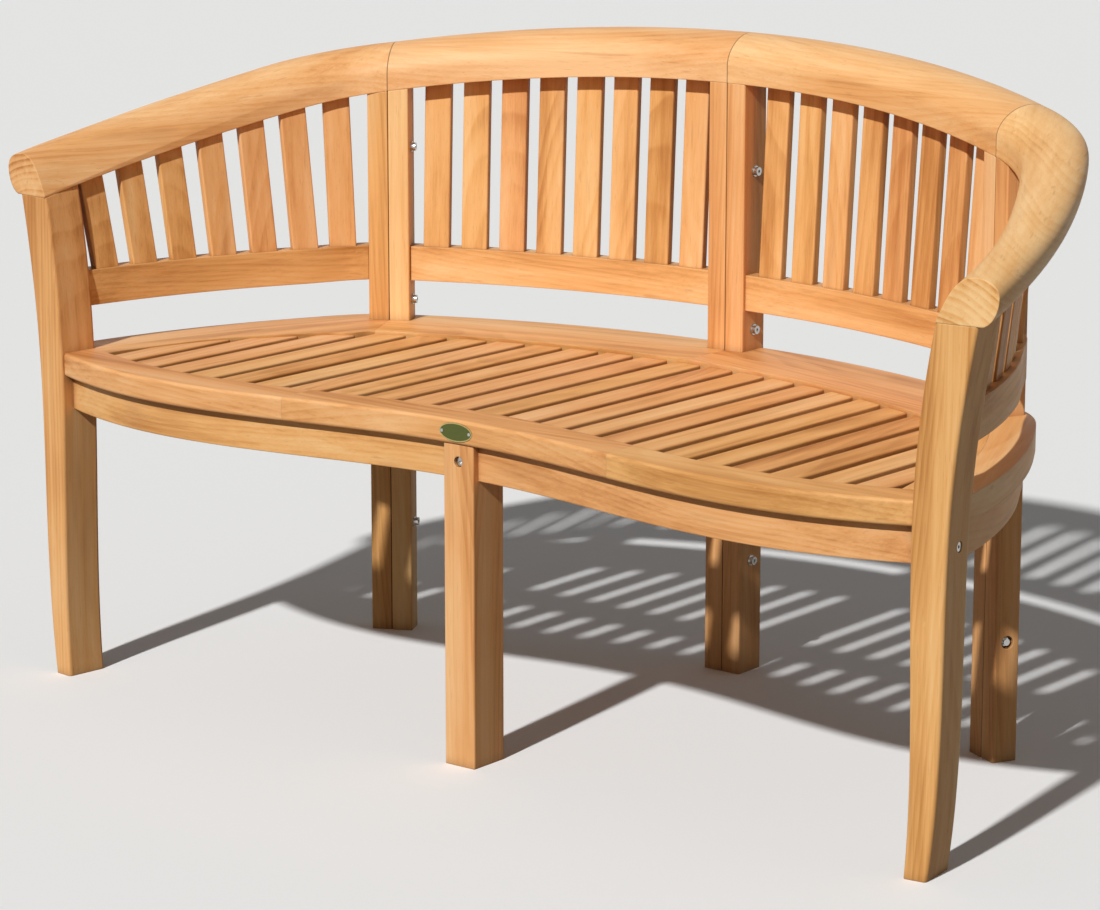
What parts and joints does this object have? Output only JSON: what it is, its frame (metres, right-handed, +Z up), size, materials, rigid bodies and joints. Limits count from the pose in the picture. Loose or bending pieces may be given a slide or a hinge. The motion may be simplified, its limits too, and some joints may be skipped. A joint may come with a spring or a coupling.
{
  "type": "garden bench",
  "caption": "Crescent garden bench in oiled hardwood: a thick rounded rail sweeps round the back into the arms over upright slats, with a wavy slatted seat and splayed front legs.",
  "frame": {"origin": "on the ground, at the centre of the bench's outline", "axes": "+X along the bench, +Y from the seat's front to its back, +Z up"},
  "size_m": [1.499, 0.671, 0.836],
  "materials": {
    "frame_wood": "oiled, satin",
    "slat_wood": "oiled, satin",
    "seat_wood": "oiled, satin",
    "dowel_wood": "plain",
    "steel": "bright",
    "plate_face": "satin",
    "plate_border": "satin"
  },
  "bodies": {
    "root": {"arm_lower_rail_left": "frame_wood", "arm_lower_rail_right": "frame_wood", "arm_post_left": "frame_wood", "arm_post_right": "frame_wood", "arm_rail_left": "frame_wood", "arm_rail_right": "frame_wood", "arm_slats_left": "slat_wood", "arm_slats_right": "slat_wood", "back_apron_left": "frame_wood", "back_apron_right": "frame_wood", "back_lower_rail_left": "frame_wood", "back_lower_rail_right": "frame_wood", "back_rail_left": "frame_wood", "back_rail_right": "frame_wood", "back_slats_left": "slat_wood", "back_slats_right": "slat_wood", "barrel_nuts": "steel", "centre_post_left": "frame_wood", "centre_post_right": "frame_wood", "centre_stretcher": "frame_wood", "corner_post_left": "frame_wood", "corner_post_right": "frame_wood", "front_apron_left": "frame_wood", "front_apron_right": "frame_wood", "front_leg_centre": "frame_wood", "front_leg_left": "frame_wood", "front_leg_right": "frame_wood", "leg_bolts": "steel", "oval_plate": "plate_face", "oval_plate_border": "plate_border", "plate_pins": "steel", "post_bolts": "steel", "post_cap_nuts": "steel", "post_washers": "steel", "rail_dowels": "dowel_wood", "seat_batten_left": "seat_wood", "seat_batten_right": "seat_wood", "seat_front_dowels": "dowel_wood", "seat_front_rail_centre": "seat_wood", "seat_front_rail_left": "seat_wood", "seat_front_rail_right": "seat_wood", "seat_rim_inner_back_left": "seat_wood", "seat_rim_inner_back_right": "seat_wood", "seat_rim_inner_side_left": "seat_wood", "seat_rim_inner_side_right": "seat_wood", "seat_rim_outer_back_left": "seat_wood", "seat_rim_outer_back_right": "seat_wood", "seat_rim_outer_side_left": "seat_wood", "seat_rim_outer_side_right": "seat_wood", "seat_slat_centre": "slat_wood", "seat_slats_left": "slat_wood", "seat_slats_right": "slat_wood", "side_apron_left": "frame_wood", "side_apron_right": "frame_wood"}
  },
  "joints": []
}
